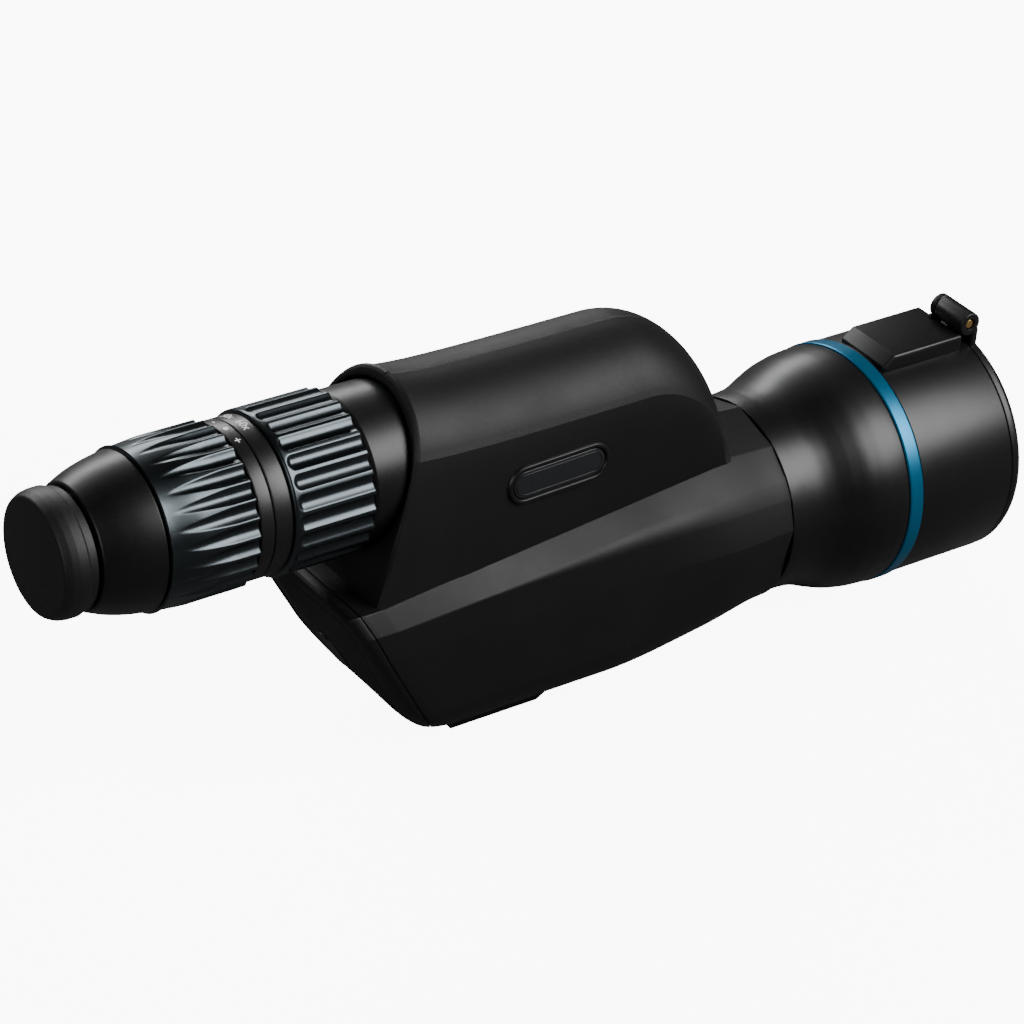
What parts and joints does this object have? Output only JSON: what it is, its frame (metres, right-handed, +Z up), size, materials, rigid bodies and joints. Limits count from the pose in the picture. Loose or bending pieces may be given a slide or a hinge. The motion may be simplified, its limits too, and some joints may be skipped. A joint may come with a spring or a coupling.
{
  "type": "spotting scope",
  "caption": "Straight-through zoom spotting scope with a raised eyepiece, rubber-armoured body, flip-up objective cover and tripod foot.",
  "frame": {"origin": "middle of the tripod foot's flat underside", "axes": "+X towards the objective, +Z up, +Y to the left of somebody looking through the eyepiece"},
  "size_m": [0.394, 0.092, 0.1393],
  "materials": {
    "armour": "fine matte grain",
    "cap_rubber": "soft matte",
    "plastic": "fine moulded grain",
    "gloss_plastic": "gloss",
    "bell_paint": "satin black",
    "gunmetal": "bead-blasted gunmetal anodising",
    "blue": "satin blue anodising",
    "black_metal": "matte black anodising",
    "steel": "turned",
    "brass": "turned",
    "glass": "coated",
    "mirror": "first-surface",
    "badge": "satin plate with no mark"
  },
  "bodies": {
    "scope_body": {"armour_right": "armour", "armour_left": "armour", "rear_plate": "armour", "rear_plug": "plastic", "mirror_carrier": "black_metal", "fold_mirror": "mirror", "erecting_prism": "glass", "prism_cradle": "black_metal", "light_baffle": "black_metal", "tripod_plate": "black_metal", "plate_screw_1": "steel", "plate_screw_2": "steel", "quarter_inch_insert": "brass", "index_pin_bush": "brass", "badge_plate": "badge", "bell_housing": "bell_paint", "trim_ring": "blue", "objective_shade": "bell_paint", "objective_cell": "black_metal", "objective_rear_lens": "glass", "lens_spacer": "black_metal", "objective_front_lens": "glass", "objective_lock_ring": "black_metal", "hinge_plate": "plastic", "hinge_pin": "brass", "ocular_housing": "plastic", "eye_lens": "glass", "eye_lens_ring": "black_metal", "eyepiece_core": "black_metal", "index_collar": "black_metal", "eyepiece_barrel": "plastic", "field_stop": "black_metal"},
    "focus_control": {"focus_ring": "gunmetal"},
    "focus_group": {"focus_cell": "black_metal", "focus_lens": "glass", "focus_lens_ring": "black_metal"},
    "zoom_control": {"zoom_ring": "gunmetal", "zoom_scale_band": "black_metal", "zoom_drive_pin": "steel", "zoom_cam_sleeve": "steel"},
    "rear_zoom_group": {"rear_zoom_cell": "black_metal", "rear_zoom_lens": "glass"},
    "front_zoom_group": {"front_zoom_cell": "black_metal", "front_zoom_lens": "glass"},
    "eyecup_tube": {"eyecup": "gloss_plastic"},
    "cap": {"eyepiece_cap": "cap_rubber"},
    "cover": {"front_cover": "plastic"}
  },
  "joints": [
    {"name": "focus_turn", "type": "hinge", "parent": "scope_body", "child": "focus_control", "pos_m": [-0.124, 0, 0.1087], "axis": [1, 0, 0], "range_deg": [-60, 60]},
    {"name": "focus_slide", "type": "slide", "parent": "scope_body", "child": "focus_group", "axis": [1, 0, 0], "range_m": [-0.0024, 0.0024]},
    {"name": "zoom_turn", "type": "hinge", "parent": "scope_body", "child": "zoom_control", "pos_m": [-0.078, 0, 0.1087], "axis": [1, 0, 0], "range_deg": [0, 140]},
    {"name": "rear_zoom_slide", "type": "slide", "parent": "scope_body", "child": "rear_zoom_group", "axis": [1, 0, 0], "range_m": [0, 0.0101]},
    {"name": "front_zoom_slide", "type": "slide", "parent": "scope_body", "child": "front_zoom_group", "axis": [1, 0, 0], "range_m": [-0.0101, 0]},
    {"name": "eyecup_slide", "type": "slide", "parent": "scope_body", "child": "eyecup_tube", "axis": [-1, 0, 0], "range_m": [0, 0.009]},
    {"name": "cap_slide", "type": "slide", "parent": "eyecup_tube", "child": "cap", "axis": [-1, 0, 0], "range_m": [0, 0.04]},
    {"name": "cover_hinge", "type": "hinge", "parent": "scope_body", "child": "cover", "pos_m": [0.211, 0, 0.0992], "axis": [0, -1, 0], "range_deg": [0, 180]}
  ],
  "couplings": [
    {"joint": "focus_slide", "follows": "focus_turn", "m_per_rad": 0.0021},
    {"joint": "rear_zoom_slide", "follows": "zoom_turn", "m_per_rad": 0.0041},
    {"joint": "front_zoom_slide", "follows": "zoom_turn", "m_per_rad": -0.0041}
  ]
}
